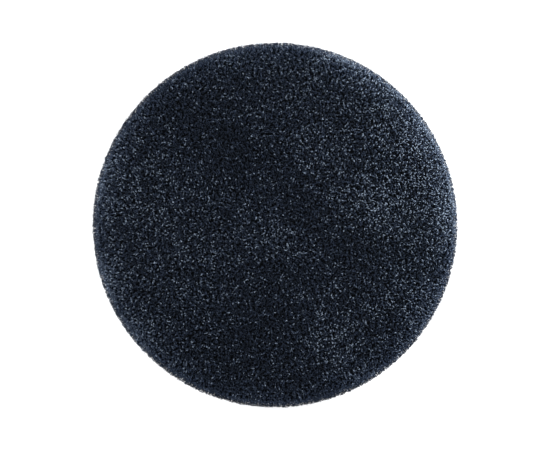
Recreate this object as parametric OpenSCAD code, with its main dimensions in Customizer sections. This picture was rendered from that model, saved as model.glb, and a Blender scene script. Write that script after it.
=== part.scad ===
// Microfibre polishing pad: a looped pile face on a foam interface, with a
// hook-and-loop back. It lies on its back with the pile up. The origin is the
// middle of the back, +Z points out of the working face, sizes in millimetres.

/* [Working face] */
// Diameter across the tips of the pile
face_d = 150; // [80:1:200]
// Height of the pile above the knit that holds it
pile_h = 4.5; // [3:0.1:8]
// Radius of the rounded shoulder where the pile turns over the rim
shoulder_r = 3; // [1:0.1:3.2]
// How far the outermost pile leans out past the edge of its knit
pile_overhang = 2.5; // [1:0.1:5]
// Thickness of the knit that holds the pile
knit_t = 0.8; // [0.4:0.1:1.5]

/* [Foam interface] */
// Thickness of the foam between the face and the back
foam_t = 11; // [6:0.5:30]
// How far the foam's top edge stands in from the edge of the knit
foam_top_inset = 0.5; // [0:0.1:3]

/* [Hook-and-loop back] */
// Diameter of the loop fabric on the back
back_d = 138; // [70:1:190]
// How far the foam's bottom edge stands out past the loop fabric
foam_bottom_lip = 0.6; // [0:0.1:3]
// Thickness of the knit that holds the loops
loop_ground_t = 0.6; // [0.3:0.1:1.5]
// Height of the loops that a hook plate grips
loop_h = 1.5; // [0.8:0.1:3]
// Radius of the worn-round edge of the loops
loop_edge_r = 0.8; // [0.2:0.1:0.8]

/* [Adhesive films] */
// Thickness of the film between the foam and the face
face_film_t = 0.3; // [0.1:0.05:0.6]
// Thickness of the film between the foam and the back
back_film_t = 0.3; // [0.1:0.05:0.6]
// How far each film stops short of the smaller layer that it joins
film_setback = 0.4; // [0:0.1:2]

/* [Hidden] */
// Sides of every round piece, and steps of an arc in its outline
$fn = 180;
arc_steps = 8;

// Each layer starts where the one under it ends
loop_ground_z = loop_h;
back_film_z = loop_ground_z + loop_ground_t;
foam_z = back_film_z + back_film_t;
face_film_z = foam_z + foam_t;
knit_z = face_film_z + face_film_t;
pile_z = knit_z + knit_t;

back_r = back_d / 2;
face_r = face_d / 2;
knit_r = face_r - pile_overhang;
foam_top_r = knit_r - foam_top_inset;
foam_bottom_r = back_r + foam_bottom_lip;
face_film_r = foam_top_r - film_setback;
back_film_r = back_r - film_setback;

// Points along an arc about (x, z), from angle a0 to angle a1
function arc(x, z, r, a0, a1) =
    [for (i = [0 : arc_steps]) let (a = a0 + (a1 - a0) * i / arc_steps)
        [x + r * cos(a), z + r * sin(a)]];

// A flat round layer with its lower face at height z
module layer(r, z, t) {
    translate([0, 0, z]) cylinder(r = r, h = t);
}

// Loops of the hook-and-loop back, with a rounded lower edge
module loop_nap() {
    color("#3b3c3e")
        rotate_extrude()
            polygon(concat(
                [[0, 0]],
                arc(back_r - loop_edge_r, loop_edge_r, loop_edge_r, -90, 0),
                [[back_r, loop_h], [0, loop_h]]));
}

// Knit that the back's loops grow from
module loop_ground() {
    color("#1d1e22") layer(back_r, loop_ground_z, loop_ground_t);
}

// Film that bonds the loop fabric to the foam
module back_adhesive() {
    color("#3a3832") layer(back_film_r, back_film_z, back_film_t);
}

// Foam that lets the face follow a curved panel, with a tapered side
module foam_interface() {
    color("#26272a")
        translate([0, 0, foam_z])
            cylinder(r1 = foam_bottom_r, r2 = foam_top_r, h = foam_t);
}

// Film that bonds the face fabric to the foam
module face_adhesive() {
    color("#3a3832") layer(face_film_r, face_film_z, face_film_t);
}

// Knit that the pile grows from
module ground_knit() {
    color("#15181f") layer(knit_r, knit_z, knit_t);
}

// Looped pile, leaning out over the rim and rounded at the shoulder
module microfibre_pile() {
    color("#20252e")
        rotate_extrude()
            polygon(concat(
                [[0, pile_z], [knit_r, pile_z]],
                arc(face_r - shoulder_r, pile_z + pile_h - shoulder_r, shoulder_r, 0, 90),
                [[0, pile_z + pile_h]]));
}

loop_nap();
loop_ground();
back_adhesive();
foam_interface();
face_adhesive();
ground_knit();
microfibre_pile();
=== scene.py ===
"""A round microfibre polishing pad, lying on its hook-and-loop back with the pile up.

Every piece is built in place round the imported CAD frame. Sizes are in metres.
"""

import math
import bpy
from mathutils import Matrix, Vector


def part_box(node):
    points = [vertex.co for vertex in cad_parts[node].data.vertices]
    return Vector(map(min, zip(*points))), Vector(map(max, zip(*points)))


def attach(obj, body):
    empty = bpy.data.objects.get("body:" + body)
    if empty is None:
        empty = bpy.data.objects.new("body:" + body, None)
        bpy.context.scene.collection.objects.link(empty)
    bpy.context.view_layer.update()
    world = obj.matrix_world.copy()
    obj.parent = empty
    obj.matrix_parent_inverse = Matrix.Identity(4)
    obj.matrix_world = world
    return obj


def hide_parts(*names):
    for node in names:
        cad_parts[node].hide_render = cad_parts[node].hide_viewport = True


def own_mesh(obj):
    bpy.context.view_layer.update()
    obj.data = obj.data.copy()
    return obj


bl_info = {
    "name": "Microfibre Polishing Pad",
    "version": (1, 0, 0),
    "blender": (4, 5, 0),
    "location": "3D View > Sidebar > Pad",
    "description": "Builds a looped-pile polishing pad, its foam and its loop back, and a studio",
    "category": "Add Mesh",
}

import bpy
import numpy as np
from bpy.props import FloatProperty, FloatVectorProperty, IntProperty, PointerProperty
from mathutils import Vector, noise

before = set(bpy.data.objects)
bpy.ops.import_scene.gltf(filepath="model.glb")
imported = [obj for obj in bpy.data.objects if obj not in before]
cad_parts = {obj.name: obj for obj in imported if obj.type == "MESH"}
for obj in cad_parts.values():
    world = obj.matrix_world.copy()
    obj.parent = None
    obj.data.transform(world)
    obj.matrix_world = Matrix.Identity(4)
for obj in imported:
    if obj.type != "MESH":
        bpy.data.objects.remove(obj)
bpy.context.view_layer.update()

MM = 0.001
# The map that a yarn's colour is read from: across it by shade, up it from root to tip
YARN_MAP = "OFBake"
# How many sides a yarn has, and how much of the map's width goes once round it
YARN_SIDES = 3
YARN_WIDTH = 0.02
# The darkest and the lightest shade that a yarn may have, across the map
SHADES = (0.03, 0.97)
# How far the nap's drifts, clumps and patches of brushing push a yarn aside, and how they lighten it:
# drifts and clumps by random tone, the patches by painted light
DRIFT_PUSH, PATCH_PUSH = 0.45, 0.7
DRIFT_LIGHT, CLUMP_LIGHT, PATCH_PAINTED_LIGHT = 0.15, 0.5, 1.2
# Patches whose nap lies another way: (x, y, radius) in mm, heading in degrees, and how much lighter
# they are painted, or how much darker where it is negative. The lightness is painted sheen where the
# nap lies another way, and round the rim painted light, strongest on the right, with painted shade
# along the bottom
BRUSHED_AND_PAINTED_LIGHT = [
    (37, 11, 7, 20, 1.2),
    (45, 3, 6, 350, 0.8),
    (17, 33, 8, 60, 0.6),
    (22, -46, 9, 340, 0.8),
    (-8, -6, 6, 120, 0.6),
    (4, -5, 6, 120, 0.7),
    (-36, -9, 13, 200, 0.35),
    (-12, 28, 17, 80, -0.4),
    (-3, -38, 14, 280, -0.3),
    (11, 7, 9, 30, -0.4),
    (32, -10, 9, 250, -0.35),
    # round the rim: patches that paint light, strongest on the right and upper right
    (63, 8, 18, 0, 0.75),
    (55, 36, 16, 30, 0.75),
    (38, 56, 11, 55, 0.5),
    (24, 68, 9, 75, 0.5),
    (-64, 16, 15, 170, 0.4),
    (-68, -22, 9, 190, 0.45),
    (-56, -44, 9, 220, 0.35),
    (30, -58, 9, 300, 0.3),
    (-35, 46, 14, 120, -0.3),
    (58, -30, 11, 330, 0.3),
    # painted shade along the bottom of the rim
    (-22, -62, 16, 270, -0.25),
    (18, -64, 16, 270, -0.25),
]


def node_span(node):
    """The radius of a round CAD node, and its lowest and highest z."""
    low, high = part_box(node)
    return high.x, low.z, high.z


# ---------------------------------------------------------------- settings


class PileSettings(bpy.types.PropertyGroup):
    """Yarns of the working face"""

    yarn_d: FloatProperty(
        name="Yarn", description="Thickness of one yarn", default=0.26 * MM, unit="LENGTH"
    )
    pitch: FloatProperty(
        name="Pitch", description="Distance between yarns", default=0.68 * MM, unit="LENGTH"
    )
    curl_r: FloatProperty(
        name="Curl", description="Radius of the curl at a yarn's tip", default=0.36 * MM, unit="LENGTH"
    )
    # the twist's turns also set the bands of painted highlight along each yarn
    twists: IntProperty(name="Twists", description="Turns of a yarn's twist, root to tip", default=4)
    free_length: FloatProperty(
        name="Free length", description="How far the yarns stand out of the bed", default=2.2 * MM,
        unit="LENGTH",
    )
    side_length: FloatProperty(
        name="Side length", description="The same at the side", default=1.5 * MM, unit="LENGTH"
    )
    lean: FloatProperty(
        name="Lean", description="How far a yarn leans at random", default=0.28, subtype="ANGLE"
    )
    splay: FloatProperty(
        name="Splay", description="How far the yarns next to the shoulder lean out", default=0.5,
        subtype="ANGLE",
    )
    crown: FloatProperty(
        name="Crown", description="How far the face falls towards its rim", default=0.8 * MM,
        unit="LENGTH",
    )
    rim_width: FloatProperty(
        name="Rim width", description="Width of the ring that falls and leans out", default=13 * MM,
        unit="LENGTH",
    )
    drift: FloatProperty(
        name="Drift", description="Size of the slow changes in how the nap lies", default=26 * MM,
        unit="LENGTH",
    )
    clump: FloatProperty(
        name="Clump", description="Size of the clumps of lighter and darker yarns", default=3.2 * MM,
        unit="LENGTH",
    )
    # painted light: how much lighter the shoulder's yarns are painted, and how much less dark their
    # roots, as a sheen of grazing light
    painted_rim_light: FloatProperty(
        name="Rim light", description="How much lighter the yarns are at the shoulder", default=0.31
    )
    painted_rim_root_lift: FloatProperty(
        name="Rim root", description="How far up the map a yarn starts at the shoulder", default=0.34
    )
    fringe: FloatProperty(
        name="Fringe", description="Angle past which the shoulder's yarns are of ragged length",
        default=0.8, subtype="ANGLE",
    )
    wrap: FloatProperty(
        name="Wrap", description="How far round the shoulder the pile goes", default=1.8,
        subtype="ANGLE",
    )
    # painted shade: the colour each yarn darkens to towards its root, where shade falls deep in the
    # pile
    painted_root_shade: FloatVectorProperty(
        name="Root", description="Colour deep in the pile", default=(0.0012, 0.0018, 0.0034),
        size=3, subtype="COLOR",
    )
    dark_colour: FloatVectorProperty(
        name="Dark yarn", description="Colour of the darkest yarns", default=(0.0046, 0.0074, 0.0145),
        size=3, subtype="COLOR",
    )
    middle_colour: FloatVectorProperty(
        name="Middle yarn", description="Colour of the middling yarns", default=(0.063, 0.086, 0.145),
        size=3, subtype="COLOR",
    )
    # painted highlight: the near-white lightest yarns stand in for the glints on the curls
    light_colour: FloatVectorProperty(
        name="Light yarn", description="Colour of the lightest yarns", default=(0.54, 0.64, 0.78),
        size=3, subtype="COLOR",
    )
    seed: IntProperty(name="Seed", description="Seed of the pile's disorder", default=7)


class FoamSettings(bpy.types.PropertyGroup):
    """Open-cell foam between the face and the back"""

    cell: FloatProperty(
        name="Cell", description="Distance between the foam's cells", default=0.95 * MM, unit="LENGTH"
    )
    depth: FloatProperty(
        name="Depth", description="Depth of a cut cell", default=0.42 * MM, unit="LENGTH"
    )
    skin_colour: FloatVectorProperty(
        name="Struts", description="Colour of the struts between cells", default=(0.030, 0.031, 0.034),
        size=3, subtype="COLOR",
    )
    # painted shade: the colour deep in the cells stands in for the shade in their hollows
    painted_cell_shade: FloatVectorProperty(
        name="Cells", description="Colour inside the cells", default=(0.0018, 0.0019, 0.0022),
        size=3, subtype="COLOR",
    )


class BackSettings(bpy.types.PropertyGroup):
    """Hook-and-loop back"""

    # the twist's turns also set the bands of painted highlight along each loop
    twists: IntProperty(name="Twists", description="Turns of a loop's twist, root to tip", default=5)
    loop_d: FloatProperty(
        name="Loop thread", description="Thickness of a loop's thread", default=0.27 * MM, unit="LENGTH"
    )
    pitch: FloatProperty(
        name="Pitch", description="Distance between loops", default=1.15 * MM, unit="LENGTH"
    )
    curl_r: FloatProperty(
        name="Curl", description="Radius of the smallest loops' curl", default=0.38 * MM, unit="LENGTH"
    )
    seed: IntProperty(name="Seed", description="Seed of the loops' disorder", default=21)
    # painted shade: the colour each loop darkens to towards the knit, where shade falls between the
    # loops
    painted_root_shade: FloatVectorProperty(
        name="Root", description="Colour between the loops", default=(0.004, 0.004, 0.005),
        size=3, subtype="COLOR",
    )
    dark_colour: FloatVectorProperty(
        name="Dark loop", description="Colour of the darkest loops", default=(0.008, 0.008, 0.009),
        size=3, subtype="COLOR",
    )
    middle_colour: FloatVectorProperty(
        name="Middle loop", description="Colour of the middling loops", default=(0.105, 0.107, 0.114),
        size=3, subtype="COLOR",
    )
    light_colour: FloatVectorProperty(
        name="Light loop", description="Colour of the lightest loops", default=(0.400, 0.407, 0.420),
        size=3, subtype="COLOR",
    )


class StudioSettings(bpy.types.PropertyGroup):
    """Floor, lamps and camera"""

    key_power: FloatProperty(
        name="Key", description="Power of the window light at the right", default=4.9, unit="POWER"
    )
    fill_power: FloatProperty(
        name="Fill", description="Power of the light at the left", default=1.5, unit="POWER"
    )
    room_strength: FloatProperty(
        name="Room", description="Strength of the light from all round", default=0.45
    )
    table_glow: FloatProperty(
        name="Table", description="Strength of the light that shines up through the table", default=0.85
    )
    margin: FloatProperty(
        name="Margin", description="Width of the view over the width of the pad", default=1.505
    )


# ---------------------------------------------------------------- finishes


class Socket:
    """An output of a shader node, on which Python's operators add Math nodes."""

    def __init__(self, finish, output):
        self.finish, self.output = finish, output

    def maths(self, operation, first, second):
        return self.finish.node("ShaderNodeMath", {"operation": operation}, first, second)

    def __add__(self, other):
        return self.maths("ADD", self, other)

    def __mul__(self, other):
        return self.maths("MULTIPLY", self, other)

    __radd__, __rmul__ = __add__, __mul__


class Finish:
    """A material whose node tree is written as expressions."""

    def __init__(self, name, **uniform):
        self.material = bpy.data.materials.new(name)
        self.material.use_nodes = True
        self.tree = self.material.node_tree
        self.shader = self.tree.nodes["Principled BSDF"]
        for socket, value in uniform.items():
            self.shader.inputs[socket.replace("_", " ")].default_value = value

    def node(self, kind, settings, *values, out=0, **named):
        """Adds a node with its settings, then its sockets' values or links, and returns one output."""
        made = self.tree.nodes.new(kind)
        for key, value in settings.items():
            setattr(made, key, value)
        for key, value in [*enumerate(values), *named.items()]:
            self.feed(made.inputs[key], value)
        return Socket(self, made.outputs[out])

    def feed(self, entry, value):
        if isinstance(value, Socket):
            self.tree.links.new(value.output, entry)
        elif value is not None:
            entry.default_value = value

    def mix(self, share, first, second):
        """A colour between two others."""
        made = self.tree.nodes.new("ShaderNodeMix")
        made.data_type = "RGBA"
        for place, value in ((0, share), (6, first), (7, second)):
            if not isinstance(value, Socket) and place:
                value = (*value, 1.0)
            self.feed(made.inputs[place], value)
        return Socket(self, made.outputs[2])

    def ramp(self, value, low, high):
        """The value's place between low and high, from 0 to 1, smoothly."""
        settings = {"interpolation_type": "SMOOTHSTEP"}
        return self.node("ShaderNodeMapRange", settings, value, low, high)

    def grain(self, size, detail=2.0):
        """Noise of that size on the piece, from 0 to 1."""
        place = self.node("ShaderNodeTexCoord", {}, out="Object")
        settings = {"noise_dimensions": "3D"}
        return self.node("ShaderNodeTexNoise", settings, place, Scale=1 / size, Detail=detail)

    def place(self):
        """The x, y and z of a point on the piece."""
        here = self.node("ShaderNodeTexCoord", {}, out="Object")
        return [self.node("ShaderNodeSeparateXYZ", {}, here, out=axis) for axis in "XYZ"]

    def bumps(self, height, depth):
        self.feed(
            self.shader.inputs["Normal"],
            self.node("ShaderNodeBump", {}, Height=height, Distance=depth),
        )

    def colour(self, value):
        self.feed(self.shader.inputs["Base Color"], value)

    def roughness(self, value):
        self.feed(self.shader.inputs["Roughness"], value)


def yarn_finish(name, settings, **uniform):
    """Yarn whose darkening towards its root is painted shade deep in the pile, with a tone of its own
    for each.
    """
    finish = Finish(name, **uniform)
    at = finish.node("ShaderNodeUVMap", {"uv_map": YARN_MAP})
    shade = finish.node("ShaderNodeSeparateXYZ", {}, at, out="X")
    along = finish.node("ShaderNodeSeparateXYZ", {}, at, out="Y")
    body = finish.mix(finish.ramp(shade, 0.0, 0.6), settings.dark_colour, settings.middle_colour)
    # painted highlight: the lightest shades take the near-white light colour, as glints on the curls
    body = finish.mix(finish.ramp(shade, 0.4, 1.0), body, settings.light_colour)
    # painted highlight: bands that turn with the twist alternate between the dark colour and the yarn's
    # own, as if light caught the twist
    turn = (along * settings.twists + shade * (1 / YARN_WIDTH)) * math.tau
    twist = finish.ramp(finish.node("ShaderNodeMath", {"operation": "SINE"}, turn), -0.9, 0.7)
    body = finish.mix(twist, settings.dark_colour, body)
    # painted shade: each yarn darkens towards its root, where shade falls deep in the pile
    finish.colour(finish.mix(finish.ramp(along, 0.1, 0.8), settings.painted_root_shade, body))
    return finish.material


def knit_finish(name, dark, light, wale):
    """A warp knit: ribs a wale apart, crossed by a finer row of stitches."""
    finish = Finish(name, Roughness=0.85, Sheen_Weight=0.3, Sheen_Roughness=0.5)
    x, y, z = finish.place()
    rib = finish.node("ShaderNodeMath", {"operation": "SINE"}, x * (math.tau / wale))
    row = finish.node("ShaderNodeMath", {"operation": "SINE"}, (y + z) * (math.tau / (0.6 * wale)))
    stitch = finish.ramp(rib * 0.6 + row * 0.4 + finish.grain(0.3 * MM) * 0.8, -0.8, 1.4)
    finish.colour(finish.mix(stitch, dark, light))
    finish.bumps(stitch, 0.12 * MM)
    return finish.material


def film_finish():
    """Cured adhesive, dull where dust has stuck to it."""
    finish = Finish("adhesive_film", Coat_Weight=0.15, Coat_Roughness=0.3)
    dust = finish.ramp(finish.grain(1.5 * MM, 4.0), 0.35, 0.7)
    finish.colour(finish.mix(dust, (0.022, 0.021, 0.018), (0.060, 0.057, 0.050)))
    finish.roughness(0.35 + dust * 0.4)
    finish.bumps(dust, 0.05 * MM)
    return finish.material


def foam_finish(settings):
    """Open cells: struts round hollows as deep as the mesh was cut, with painted shade that darkens as
    the cut gets deeper.
    """
    finish = Finish("open_cell_foam", Specular_IOR_Level=0.12)
    depth = finish.node("ShaderNodeAttribute", {"attribute_name": "cell_depth"}, out="Fac")
    mottle = finish.grain(6 * MM, 3.0)
    struts = finish.mix(mottle, [0.8 * c for c in settings.skin_colour], settings.skin_colour)
    # painted shade: the deeper a cell is cut, the darker its colour
    finish.colour(finish.mix(finish.ramp(depth, 0.1, 0.65), struts, settings.painted_cell_shade))
    finish.roughness(0.75 + depth * 0.2)
    finish.bumps(finish.grain(0.25 * MM, 3.0), 0.06 * MM)
    return finish.material


# ---------------------------------------------------------------- modelling


def clear_selection():
    if bpy.context.mode != "OBJECT":
        bpy.ops.object.mode_set(mode="OBJECT")
    bpy.ops.object.select_all(action="DESELECT")


def named(name):
    """Names the new object, and puts its place into its mesh."""
    piece = bpy.context.object
    piece.name = piece.data.name = name
    bpy.ops.object.transform_apply(location=True, rotation=True, scale=True)
    return piece


def middle_of(mesh_object):
    """The middle of the selected vertices."""
    mesh_object.update_from_editmode()
    picked = [v.co for v in mesh_object.data.vertices if v.select]
    return sum(picked, Vector()) / len(picked)


def model_yarn(name, yarn_r, stem, curl_r, curl_angle, curl_steps, tilt, tip):
    """One yarn from its root at the origin: a stem, then a curl over +X that tilts aside."""
    clear_selection()
    bpy.ops.mesh.primitive_circle_add(vertices=YARN_SIDES, radius=yarn_r, fill_type="NOTHING")
    piece = bpy.context.object
    piece.name = name
    bpy.ops.object.mode_set(mode="EDIT")
    bpy.ops.mesh.select_all(action="SELECT")
    bpy.ops.mesh.extrude_region_move(TRANSFORM_OT_translate={"value": (0, 0, stem)})
    bpy.ops.transform.rotate(value=-tilt, orient_axis="X", center_override=middle_of(piece))
    end = middle_of(piece)
    bpy.ops.mesh.spin(
        steps=curl_steps,
        angle=curl_angle,
        center=end + Vector((curl_r, 0, 0)),
        axis=(0, -math.cos(tilt), -math.sin(tilt)),
    )
    bpy.ops.transform.resize(value=(tip, tip, tip), center_override=middle_of(piece))
    bpy.ops.mesh.edge_face_add()
    bpy.ops.object.mode_set(mode="OBJECT")
    return piece


class Yarn:
    """The points, faces and map of a modelled yarn, ready to be copied. It takes the object away."""

    def __init__(self, piece):
        mesh = piece.data
        self.points = np.array([v.co for v in mesh.vertices])
        ring, side = self.rings(mesh)
        last = max(ring)
        self.corners, self.starts, across, along = [], [], [], []
        for face in mesh.polygons:
            self.starts.append(len(self.corners))
            round_it = [side[v] for v in face.vertices]
            wraps = max(round_it) - min(round_it) == YARN_SIDES - 1 and len(round_it) == 4
            for v, column in zip(face.vertices, round_it):
                self.corners.append(v)
                across.append(column + YARN_SIDES * (wraps and column == 0))
                tip_step = 0.01 * column * (len(round_it) == YARN_SIDES)
                along.append(0.02 + 0.94 * ring[v] / last + tip_step)
        self.across, self.along = np.array(across) / YARN_SIDES - 0.5, np.array(along)
        bpy.data.objects.remove(piece)

    @staticmethod
    def rings(mesh):
        """Each vertex's step up the yarn and its side of it, found along edges from the root."""
        beside = [[] for _ in mesh.vertices]
        for edge in mesh.edges:
            a, b = edge.vertices
            beside[a].append(b)
            beside[b].append(a)
        lowest = sorted(range(len(mesh.vertices)), key=lambda v: mesh.vertices[v].co.z)
        queue = [v for v in lowest if abs(mesh.vertices[v].co.z) < 1e-9]
        ring, side = [0] * len(mesh.vertices), [0] * len(mesh.vertices)
        seen = set(queue)
        for column, v in enumerate(queue):
            side[v] = column
        for v in queue:
            for other in beside[v]:
                if other not in seen:
                    seen.add(other)
                    ring[other], side[other] = ring[v] + 1, side[v]
                    queue.append(other)
        return ring, side


def mesh_of(name, points, corners, starts, across, along):
    """A smooth object from arrays, with its yarn map."""
    mesh = bpy.data.meshes.new(name)
    mesh.vertices.add(len(points))
    mesh.vertices.foreach_set("co", points.astype(np.float32).ravel())
    mesh.loops.add(len(corners))
    mesh.loops.foreach_set("vertex_index", corners.astype(np.int32))
    mesh.polygons.add(len(starts))
    mesh.polygons.foreach_set("loop_start", starts.astype(np.int32))
    layer = mesh.uv_layers.new(name=YARN_MAP)
    layer.uv.foreach_set("vector", np.stack([across, along], 1).astype(np.float32).ravel())
    mesh.update(calc_edges=True)
    mesh.shade_smooth()
    piece = bpy.data.objects.new(name, mesh)
    bpy.context.scene.collection.objects.link(piece)
    return piece


def turned(spin, lean, heading):
    """Rotations that spin each yarn about its stem, then lean it towards its heading."""
    axis = np.stack([-np.sin(heading), np.cos(heading), np.zeros_like(heading)], 1)
    cos, sin = np.cos(lean)[:, None, None], np.sin(lean)[:, None, None]
    cross = np.zeros((len(lean), 3, 3))
    cross[:, 0, 2], cross[:, 2, 0] = axis[:, 1], -axis[:, 1]
    cross[:, 1, 2], cross[:, 2, 1] = -axis[:, 0], axis[:, 0]
    leaning = cos * np.eye(3) + sin * cross + (1 - cos) * axis[:, :, None] * axis[:, None, :]
    about = np.zeros((len(spin), 3, 3))
    about[:, 0, 0], about[:, 0, 1] = np.cos(spin), -np.sin(spin)
    about[:, 1, 0], about[:, 1, 1] = np.sin(spin), np.cos(spin)
    about[:, 2, 2] = 1
    return leaning @ about


def plant(name, yarns, kinds, roots, turns, sizes, shades, starts_at):
    """Copies a yarn to each root and joins them in one mesh. Each starts so far up the map."""
    parts, vertices, loops = [], 0, 0
    for kind, yarn in enumerate(yarns):
        these = np.flatnonzero(kinds == kind)
        count, size = len(these), len(yarn.points)
        points = np.einsum("nij,vj->nvi", turns[these], yarn.points) * sizes[these, None, None]
        points += roots[these, None, :]
        first = vertices + size * np.arange(count)[:, None]
        begins = loops + len(yarn.corners) * np.arange(count)[:, None]
        across = shades[these, None] + YARN_WIDTH * yarn.across
        along = starts_at[these, None] + (1 - starts_at[these, None]) * yarn.along
        corners, starts = first + np.array(yarn.corners), begins + np.array(yarn.starts)
        flat = (array.ravel() for array in (corners, starts, across, along))
        parts.append((points.reshape(-1, 3), *flat))
        vertices, loops = vertices + size * count, loops + len(yarn.corners) * count
    return mesh_of(name, *(np.concatenate(column) for column in zip(*parts)))


def spots_in_disc(radius, pitch, jitter, rng):
    """Points on a hexagonal grid in a disc, each moved a little at random."""
    rise = pitch * math.sqrt(3) / 2
    rows, columns = math.ceil(radius / rise), math.ceil(radius / pitch) + 1
    row, column = np.mgrid[-rows : rows + 1, -columns : columns + 1]
    spots = np.stack([(column + 0.5 * (row % 2)).ravel() * pitch, row.ravel() * rise], 1)
    spots += rng.uniform(-jitter, jitter, spots.shape) * pitch
    return spots[np.hypot(*spots.T) < radius]


def spots_on_ring(radius, pitch, jitter, rng):
    """Points round a circle, each moved a little at random."""
    count = int(math.tau * radius / pitch)
    angle = math.tau * (np.arange(count) + rng.uniform(-jitter, jitter, count)) / count
    out = radius + rng.uniform(-jitter, jitter, count) * pitch
    return np.stack([out * np.cos(angle), out * np.sin(angle)], 1)


def in_sectors(spots, count):
    """For each of count equal sectors, which spots are in it."""
    sector = (np.arctan2(spots[:, 1], spots[:, 0]) / math.tau % 1 * count).astype(int)
    return [np.flatnonzero(sector == i) for i in range(count)]


def model_disc(name, radius, low, high, vertices, wall_steps, top_rings=2):
    """A closed round slab whose wall is in steps and whose top is in rings, for later shaping."""
    clear_selection()
    bpy.ops.mesh.primitive_circle_add(
        vertices=vertices, radius=radius, fill_type="NOTHING", location=(0, 0, low)
    )
    piece = named(name)
    bpy.ops.object.mode_set(mode="EDIT")
    bpy.ops.mesh.select_all(action="SELECT")
    rise = (0, 0, (high - low) / wall_steps)
    for _ in range(wall_steps):
        bpy.ops.mesh.extrude_region_move(TRANSFORM_OT_translate={"value": rise})
    close_end(radius, top_rings)
    bpy.ops.mesh.select_all(action="DESELECT")
    bpy.ops.object.mode_set(mode="OBJECT")
    for vertex in piece.data.vertices:
        vertex.select = abs(vertex.co.z - low) < 1e-7
    for edge in piece.data.edges:
        edge.select = all(piece.data.vertices[v].select for v in edge.vertices)
    bpy.ops.object.mode_set(mode="EDIT")
    close_end(radius, 2)
    bpy.ops.mesh.select_all(action="SELECT")
    bpy.ops.mesh.normals_make_consistent(inside=False)
    bpy.ops.object.mode_set(mode="OBJECT")
    bpy.ops.object.shade_smooth()
    return piece


def close_end(radius, insets):
    """Fills the selected ring with a face, and insets that in equal rings towards the middle."""
    bpy.ops.mesh.edge_face_add()
    for _ in range(insets):
        bpy.ops.mesh.inset(thickness=radius / (insets + 1), use_even_offset=False)


def points_of(piece):
    found = np.zeros(len(piece.data.vertices) * 3, np.float32)
    piece.data.vertices.foreach_get("co", found)
    return found.reshape(-1, 3).astype(float)


def lay_palette(piece, shade, along):
    """Gives a bed the yarn map, so that it is coloured as the lower part of the yarns is."""
    layer = piece.data.uv_layers.new(name=YARN_MAP)
    up = np.asarray(along)[[loop.vertex_index for loop in piece.data.loops]]
    across = shade + 0.1 * (np.arange(len(up)) % 2)
    layer.uv.foreach_set("vector", np.stack([across, up], 1).astype(np.float32).ravel())


def radius_at(node, z):
    """The radius of a round CAD node at one of its levels."""
    points = points_of(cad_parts[node])
    level = points[np.abs(points[:, 2] - z) < 1e-5]
    return float(np.hypot(level[:, 0], level[:, 1]).max())


def set_points(piece, points):
    piece.data.vertices.foreach_set("co", points.astype(np.float32).ravel())
    piece.data.update()


def wander(points, size, seed=0.0):
    """Smooth noise at each point, from about -1 to 1, whose hills are that size."""
    return np.array([noise.noise(Vector(p) / size + Vector((seed, seed, seed))) for p in points])


def dress(piece, material, body, slot, *nodes):
    """Gives a finished piece its material, attaches it to what it rides on, and hides the CAD nodes
    that it stands in for.
    """
    piece.data.materials.clear()
    piece.data.materials.append(material)
    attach(piece, body)
    if nodes:
        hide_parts(*nodes)
    return piece


# ---------------------------------------------------------------- pieces


def brushed_and_painted_light(spots):
    """For each patch of brushing, how much of its painted light, or painted shade where negative, each
    place has.
    """
    x, y = spots[:, 0] / MM, spots[:, 1] / MM
    return [
        strength * np.exp(-((x - at_x) ** 2 + (y - at_y) ** 2) / radius**2)
        for at_x, at_y, radius, _, strength in BRUSHED_AND_PAINTED_LIGHT
    ]


def nap_of(settings, spots, rng):
    """Which way each yarn is pushed, and how light it is: slow drifts and clumps of random tone, and
    the patches' painted light and painted shade.
    """
    places = np.column_stack([spots, np.zeros(len(spots))])
    shifts = (3.7, 11.3, 19.9)
    drift = np.column_stack([wander(places, settings.drift, shift) for shift in shifts])
    clump = wander(places, settings.clump)
    push = drift[:, :2] * DRIFT_PUSH
    light = 1 + DRIFT_LIGHT * drift[:, 2] + CLUMP_LIGHT * clump
    for (_, _, _, heading, _), amount in zip(BRUSHED_AND_PAINTED_LIGHT, brushed_and_painted_light(spots)):
        ragged = amount * rng.uniform(0.2, 1.5, len(spots))
        turn = math.radians(heading)
        push += PATCH_PUSH * np.abs(ragged)[:, None] * (math.cos(turn), math.sin(turn))
        # painted light: each patch lightens or darkens its yarns' colour
        light += PATCH_PAINTED_LIGHT * ragged
    return push, light.clip(0.2, 3)


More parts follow.
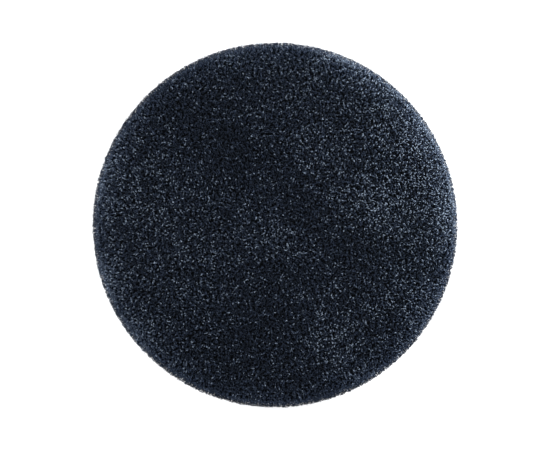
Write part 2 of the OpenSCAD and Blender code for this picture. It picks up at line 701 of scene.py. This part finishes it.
class PAD_OT_pile(bpy.types.Operator):
    """Plants the curled yarns of the working face on a dense bed"""

    bl_idname = "pad.pile"
    bl_label = "Pile"
    KINDS = 12
    SECTORS = 10

    def execute(self, context):
        settings = context.scene.pad_pile
        rng = np.random.default_rng(settings.seed)
        material = yarn_finish(
            "pile_yarn", settings, Roughness=0.5, Specular_IOR_Level=0.1,
            Sheen_Weight=0.06, Sheen_Roughness=0.4, Sheen_Tint=(0.60, 0.78, 1.0, 1.0),
        )
        pile_r, low, high = node_span("microfibre_pile")
        shoulder_r = pile_r - radius_at("microfibre_pile", high)
        flat_r, middle = pile_r - shoulder_r, high - shoulder_r
        bed_out, bed_up = shoulder_r - settings.side_length, shoulder_r - settings.free_length
        self.bed(settings, material, flat_r, low, middle, bed_out, bed_up)
        yarns = self.yarns(settings, rng)
        spots, round_it = self.places(settings, flat_r, shoulder_r, rng)
        reach = np.hypot(*spots.T)
        edge = self.nearness(settings, reach, flat_r)
        outward = spots / reach[:, None]
        push, light = nap_of(settings, spots, rng)
        shades, starts_at = self.shades(settings, spots, light, edge, round_it, rng)
        lean, heading = self.ways(settings, outward, push, edge, round_it, rng)
        out, up = bed_out * np.sin(round_it), bed_up * np.cos(round_it)
        fall = settings.crown * edge**2
        roots = np.column_stack([spots + outward * out[:, None], middle + up - fall])
        kinds = rng.integers(0, self.KINDS, len(spots))
        sizes = self.sizes(settings, shoulder_r - np.hypot(out, up), round_it, rng)
        turns = turned(rng.uniform(0, math.tau, len(spots)), lean, heading)
        for number, these in enumerate(in_sectors(spots, self.SECTORS), 1):
            piece = plant(
                f"pile_yarns_{number}", yarns, kinds[these], roots[these],
                turns[these], sizes[these], shades[these], starts_at[these],
            )
            dress(piece, material, "face", "pile")
        return {"FINISHED"}

    def shades(self, settings, spots, light, edge, round_it, rng):
        """Each yarn's shade, and how far up the map it starts: painted light makes the yarns lighter
        and their roots less dark at the shoulder, most under the lit patches.
        """
        # painted light: a painted sheen of grazing light on the shoulder, strongest under the patches
        # that paint light and less far down the side
        lit = edge**2 * (1 + 0.9 * sum(brushed_and_painted_light(spots))).clip(0.4, 2)
        painted_rim_lift = settings.painted_rim_light * lit * (1 - 0.7 * np.clip(round_it - 0.2, 0, 1))
        # the spread of shades is tone that differs at random, and its few lightest yarns are painted
        # highlights
        shades = rng.gamma(1.4, 0.205, len(spots)) * light
        shades = (shades * (1 - 0.5 * edge**2) + painted_rim_lift).clip(*SHADES)
        return shades, settings.painted_rim_root_lift * lit

    def ways(self, settings, outward, push, edge, round_it, rng):
        """How far each yarn leans, and where to: with the nap inside, and outward at the rim."""
        turn_out = np.maximum(round_it, settings.splay * edge**2)
        way = np.column_stack([outward * np.sin(turn_out)[:, None], np.cos(turn_out)])
        way += rng.normal(0, 0.8 * math.tan(settings.lean), way.shape)
        way[:, :2] += push * (1 - edge)[:, None]
        lean = np.arctan2(np.hypot(way[:, 0], way[:, 1]), way[:, 2])
        return lean, np.arctan2(way[:, 1], way[:, 0])

    def sizes(self, settings, length, round_it, rng):
        """Each yarn's size for the length that it fills, which is ragged under the shoulder."""
        sizes = rng.normal(1.0, 0.05, len(length)).clip(0.85, 1.1)
        sizes *= length / settings.free_length
        ragged = rng.uniform(0.85, 1.3, len(length))
        return sizes * np.where(round_it > settings.fringe, ragged, 1)

    def nearness(self, settings, reach, flat_r):
        """How near the shoulder each point is, from 0 at the inside of the rim to 1."""
        return np.clip((reach - flat_r) / settings.rim_width + 1, 0, 1)

    def places(self, settings, flat_r, shoulder_r, rng):
        """Where the yarns start from, over the flat and round it, and how far they turn out."""
        flat = spots_in_disc(flat_r, settings.pitch, 0.3, rng)
        spots, upright = [flat], [np.zeros(len(flat))]
        pitch = settings.pitch * settings.side_length / settings.free_length
        step = pitch / shoulder_r
        for row in range(1, int(settings.wrap / step) + 1):
            tip_r = flat_r + shoulder_r * math.sin(row * step)
            ring = spots_on_ring(flat_r, pitch * flat_r / tip_r, 0.3, rng)
            spots.append(ring)
            upright.append(row * step + rng.uniform(-0.5, 0.5, len(ring)) * step)
        return np.concatenate(spots), np.concatenate(upright)

    def yarns(self, settings, rng):
        """The kinds of curled yarn: some hook over, some close into a small ring."""
        made = []
        for kind in range(self.KINDS):
            curl_r = settings.curl_r * rng.uniform(0.75, 1.25)
            tilt = rng.uniform(0.0, 1.1)
            rise = curl_r * math.cos(tilt) + settings.yarn_d / 2
            stem = (settings.free_length - rise) * rng.uniform(0.82, 1.0)
            piece = model_yarn(
                f"yarn_{kind}", settings.yarn_d / 2, stem, curl_r,
                math.radians(rng.uniform(100, 220)), 3, tilt, 0.7,
            )
            made.append(Yarn(piece))
        return made

    def bed(self, settings, material, flat_r, low, middle, bed_out, bed_up):
        """The close lower part of the pile, which the yarns stand in, with its rounded edge."""
        piece = model_disc("pile_bed", flat_r, low, middle + bed_up, 240, 8, 60)
        points = points_of(piece)
        reach = np.hypot(points[:, 0], points[:, 1])
        level = (points[:, 2] - low) / (middle + bed_up - low)
        round_it = settings.wrap * (1 - level)
        wall = (reach > flat_r - 1e-5) & (level > 1e-3)
        out = np.where(wall, flat_r + bed_out * np.sin(round_it), reach)
        points[wall, 2] = middle + bed_up * np.cos(round_it[wall])
        points[:, :2] *= (out / np.maximum(reach, 1e-9))[:, None]
        lumps = wander(points, 3.1 * MM) * 0.3 * MM
        points[:, 2] += np.where((level > 0.99) & ~wall, lumps, 0)
        edge = self.nearness(settings, reach, flat_r) ** 2
        fall = settings.crown * edge
        points[:, 2] -= fall * np.clip((points[:, 2] - low) / settings.crown, 0, 1)
        set_points(piece, points)
        # painted shade and painted light: the bed is near black, where shade falls deep in the pile,
        # and painted lighter near the rim under the patches that paint light
        painted_rim_glow = edge * sum(brushed_and_painted_light(points)).clip(0, 1)
        lay_palette(piece, 0.2, 0.02 + 0.1 * level + 0.5 * level * painted_rim_glow)
        dress(piece, material, "face", "pile", "microfibre_pile")


class PAD_OT_ground_knit(bpy.types.Operator):
    """Cuts the knit that holds the pile"""

    bl_idname = "pad.ground_knit"
    bl_label = "Ground knit"

    def execute(self, context):
        radius, low, high = node_span("ground_knit")
        piece = knit_disc("ground_knit_cloth", radius, low, high)
        material = knit_finish(
            "ground_knit", (0.006, 0.007, 0.010), (0.030, 0.034, 0.042), 0.9 * MM
        )
        dress(piece, material, "face", "knit", "ground_knit")
        return {"FINISHED"}


def knit_disc(name, radius, low, high):
    """A disc of knit with a slightly uneven cut edge."""
    piece = model_disc(name, radius, low, high, 720, 3)
    points = points_of(piece)
    reach = np.hypot(points[:, 0], points[:, 1])
    cut = reach > radius - 1e-5
    uneven = wander(points[cut], 1.3 * MM) * 0.16 * MM - 0.1 * MM
    points[cut, :2] *= (1 + uneven / radius)[:, None]
    set_points(piece, points)
    return piece


class PAD_OT_films(bpy.types.Operator):
    """Spreads the two films of adhesive, with their squeezed-out edges"""

    bl_idname = "pad.films"
    bl_label = "Adhesive films"

    def execute(self, context):
        material = film_finish()
        for name, node, body in (
            ("face_film", "face_adhesive", "face"),
            ("back_film", "back_adhesive", "backing"),
        ):
            radius, low, high = node_span(node)
            piece = model_disc(name, radius, low, high, 600, 3)
            points = points_of(piece)
            cut = np.hypot(points[:, 0], points[:, 1]) > radius - 1e-5
            level = np.abs(points[cut, 2] - (low + high) / 2) / (high - low)
            # uneven round the rim, and squeezed out furthest half-way up
            squeeze = (0.12 + 0.3 * wander(points[cut], 3.5 * MM)) * MM
            squeeze += (0.12 - 0.3 * level) * MM
            points[cut, :2] *= (1 + squeeze / radius)[:, None]
            set_points(piece, points)
            dress(piece, material, body, "adhesive", node)
        return {"FINISHED"}


class PAD_OT_foam(bpy.types.Operator):
    """Cuts the foam, with its tapered side and open cells"""

    bl_idname = "pad.foam"
    bl_label = "Foam interface"
    COLUMNS = 1300
    ROWS = 30

    def execute(self, context):
        settings = context.scene.pad_foam
        top_r, low, high = node_span("foam_interface")
        bottom_r = radius_at("foam_interface", low)
        piece = model_disc("foam_core", bottom_r, low, high, self.COLUMNS, self.ROWS)
        points = points_of(piece)
        share = (points[:, 2] - low) / (high - low)
        points[:, :2] *= (1 + share * (top_r / bottom_r - 1))[:, None]
        reach = np.hypot(points[:, 0], points[:, 1])
        side = reach > (bottom_r + share * (top_r - bottom_r)) - 1e-5
        depth = np.zeros(len(points))
        depth[side] = self.cells(points[side], settings.cell)
        outward = points[:, :2] / np.maximum(reach, 1e-9)[:, None]
        points[:, :2] -= outward * (depth * settings.depth)[:, None]
        set_points(piece, points)
        stored = piece.data.attributes.new("cell_depth", "FLOAT", "POINT")
        stored.data.foreach_set("value", depth.astype(np.float32))
        dress(piece, foam_finish(settings), "backing", "foam", "foam_interface")
        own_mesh(piece)
        return {"FINISHED"}

    def cells(self, points, cell):
        """How deep in a foam cell each point is, from 0 on a strut to 1 in the middle."""
        depth = []
        for point in points:
            near, _ = noise.voronoi(Vector(point) / cell)
            depth.append(near[1] - near[0])
        return np.clip(np.array(depth) * 1.6, 0, 1) ** 0.8


class PAD_OT_back(bpy.types.Operator):
    """Makes the loop fabric of the back: its knit, and the loops under it"""

    bl_idname = "pad.back"
    bl_label = "Hook-and-loop back"
    KINDS = 5
    SECTORS = 4

    def execute(self, context):
        settings = context.scene.pad_back
        rng = np.random.default_rng(settings.seed)
        radius, low, high = node_span("loop_ground")
        cloth = knit_disc("loop_ground_cloth", radius, low, high)
        material = knit_finish(
            "loop_ground_knit", (0.005, 0.005, 0.006), (0.030, 0.030, 0.034), 0.8 * MM
        )
        dress(cloth, material, "backing", "loop_ground", "loop_ground")
        yarn = yarn_finish("loop_thread", settings, Roughness=0.5, Specular_IOR_Level=0.12)
        self.bed(yarn, radius, 0.3 * low, low)
        loops = []
        for kind in range(self.KINDS):
            curl_r = settings.curl_r + 0.05 * MM * kind
            stem = (low - curl_r - settings.loop_d / 2) * rng.uniform(0.93, 1.0)
            piece = model_yarn(
                f"loop_{kind}", settings.loop_d / 2, stem, curl_r, math.radians(190), 4, 0.0, 1.0,
            )
            loops.append(Yarn(piece))
        inside = spots_in_disc(radius - settings.pitch, settings.pitch, 0.35, rng)
        edges = [spots_on_ring(radius - inset, 0.6 * MM, 0.4, rng) for inset in (0.3 * MM, 0.8 * MM)]
        spots = np.concatenate([inside, *edges])
        kinds = rng.integers(0, self.KINDS, len(spots))
        spin, heading = rng.uniform(0, math.tau, (2, len(spots)))
        turns = turned(spin, np.abs(rng.normal(0, 0.3, len(spots))), heading)
        turns[:, 1:, :] *= -1  # half a turn about X, so that the loops hang from the knit
        roots = np.column_stack([spots, np.full(len(spots), low)])
        shades = rng.normal(0.45, 0.22, len(spots)).clip(*SHADES)
        sizes = rng.normal(0.95, 0.03, len(spots)).clip(0.86, 0.98)
        for number, these in enumerate(in_sectors(spots, self.SECTORS), 1):
            piece = plant(
                f"loops_{number}", loops, kinds[these], roots[these],
                turns[these], sizes[these], shades[these], np.zeros(len(these)),
            )
            dress(piece, yarn, "backing", "loop_fabric")
        return {"FINISHED"}

    def bed(self, yarn, radius, low, high):
        """The close part of the nap, which the tallest loops stand out of."""
        piece = model_disc("loop_bed", radius - 0.5 * MM, low, high, 240, 3)
        points = points_of(piece)
        under = points[:, 2] < high - 1e-6
        points[under, :2] *= 1 - 0.4 * MM / radius * (1 - points[under, 2:] / high)
        points[under] += wander(points[under], 1.7 * MM)[:, None] * 0.12 * MM
        set_points(piece, points)
        # painted shade: the part of the bed near the knit sits lower on the map and so is darker, where
        # shade falls deeper in the nap
        lay_palette(piece, 0.15, 0.2 + 0.25 * (points[:, 2] < 0.5 * high))
        dress(piece, yarn, "backing", "loop_fabric", "loop_nap")


# ---------------------------------------------------------------- studio


class PAD_OT_studio(bpy.types.Operator):
    """Sets up the floor, the lamps and the camera over the pad"""

    bl_idname = "pad.studio"
    bl_label = "Studio"
    TABLE_R = 3.0

    def execute(self, context):
        settings = context.scene.pad_studio
        scene = context.scene
        scene.view_settings.view_transform = "Standard"
        clear_selection()
        floor = self.table()
        paper = Finish(
            "light_table", Roughness=0.9, Specular_IOR_Level=0.1,
            Emission_Color=(1.0, 1.0, 1.0, 1.0), Emission_Strength=settings.table_glow,
        )
        tone = paper.grain(0.4, 2.0)
        paper.colour(paper.mix(tone, (0.34, 0.34, 0.345), (0.38, 0.38, 0.385)))
        floor.data.materials.append(paper.material)
        self.lamp("window", (0.36, 0.17, 0.24), 0.22, settings.key_power, (0.90, 0.95, 1.0))
        self.lamp("bounce", (-0.38, 0.05, 0.20), 0.22, settings.fill_power, (0.92, 0.96, 1.0))
        world = bpy.data.worlds.new("room")
        world.use_nodes = True
        background = world.node_tree.nodes["Background"]
        background.inputs["Color"].default_value = (0.86, 0.93, 1.0, 1.0)
        background.inputs["Strength"].default_value = settings.room_strength
        scene.world = world
        self.camera(scene, settings)
        return {"FINISHED"}

    def table(self):
        """A round light table whose edge sweeps up all round, so that no horizon shows."""
        bpy.ops.mesh.primitive_circle_add(vertices=96, radius=self.TABLE_R, fill_type="NGON")
        table = named("light_table")
        bpy.ops.object.mode_set(mode="EDIT")
        bpy.ops.mesh.select_all(action="SELECT")
        bpy.ops.mesh.inset(thickness=self.TABLE_R / 5, use_even_offset=False)
        bpy.ops.object.mode_set(mode="OBJECT")
        points = points_of(table)
        rim = np.hypot(points[:, 0], points[:, 1]) > 0.97 * self.TABLE_R
        points[rim, 2] = self.TABLE_R / 3
        set_points(table, points)
        bevel = table.modifiers.new("sweep", "BEVEL")
        bevel.width, bevel.segments, bevel.angle_limit = 0.4, 8, math.radians(30)
        bpy.ops.object.modifier_apply(modifier="sweep")
        bpy.ops.object.shade_smooth()
        return table

    def lamp(self, name, place, size, power, colour):
        """A soft square lamp that faces the pad."""
        bpy.ops.object.light_add(type="AREA", location=place)
        lamp = bpy.context.object
        lamp.name = name
        lamp.data.energy, lamp.data.size, lamp.data.color = power, size, colour
        lamp.visible_camera = False
        lamp.rotation_euler = (-Vector(place)).to_track_quat("-Z", "Y").to_euler()

    def camera(self, scene, settings):
        """Straight above the pad, so that the pad fills its share of the view's width."""
        radius, _, top = node_span("microfibre_pile")
        bpy.ops.object.camera_add(location=(0, 0, 0), rotation=(0, 0, 0))
        camera = bpy.context.object
        camera.data.lens = 100
        width = 2 * radius * settings.margin
        widest = top - 2 * MM
        camera.location.z = widest + width * camera.data.lens / camera.data.sensor_width
        scene.camera = camera


class PAD_PT_sidebar(bpy.types.Panel):
    """The pad's pieces, in the order in which they are made"""

    bl_idname = "PAD_PT_sidebar"
    bl_label = "Polishing pad"
    bl_space_type = "VIEW_3D"
    bl_region_type = "UI"
    bl_category = "Pad"

    def draw(self, context):
        for settings, operators in (
            (context.scene.pad_studio, (PAD_OT_studio,)),
            (context.scene.pad_pile, (PAD_OT_pile, PAD_OT_ground_knit)),
            (context.scene.pad_foam, (PAD_OT_films, PAD_OT_foam)),
            (context.scene.pad_back, (PAD_OT_back,)),
        ):
            column = self.layout.box().column()
            for name in settings.__annotations__:
                column.prop(settings, name)
            for operator in operators:
                column.operator(operator.bl_idname)


CLASSES = (
    PileSettings, FoamSettings, BackSettings, StudioSettings,
    PAD_OT_studio, PAD_OT_pile, PAD_OT_ground_knit, PAD_OT_films, PAD_OT_foam, PAD_OT_back,
    PAD_PT_sidebar,
)


def register():
    for each in CLASSES:
        bpy.utils.register_class(each)
    bpy.types.Scene.pad_pile = PointerProperty(type=PileSettings)
    bpy.types.Scene.pad_foam = PointerProperty(type=FoamSettings)
    bpy.types.Scene.pad_back = PointerProperty(type=BackSettings)
    bpy.types.Scene.pad_studio = PointerProperty(type=StudioSettings)


def unregister():
    for name in ("pad_pile", "pad_foam", "pad_back", "pad_studio"):
        delattr(bpy.types.Scene, name)
    for each in reversed(CLASSES):
        bpy.utils.unregister_class(each)


def main():
    register()
    bpy.ops.pad.studio()
    bpy.ops.pad.pile()
    bpy.ops.pad.ground_knit()
    bpy.ops.pad.films()
    bpy.ops.pad.foam()
    bpy.ops.pad.back()


if __name__ == "__main__":
    main()
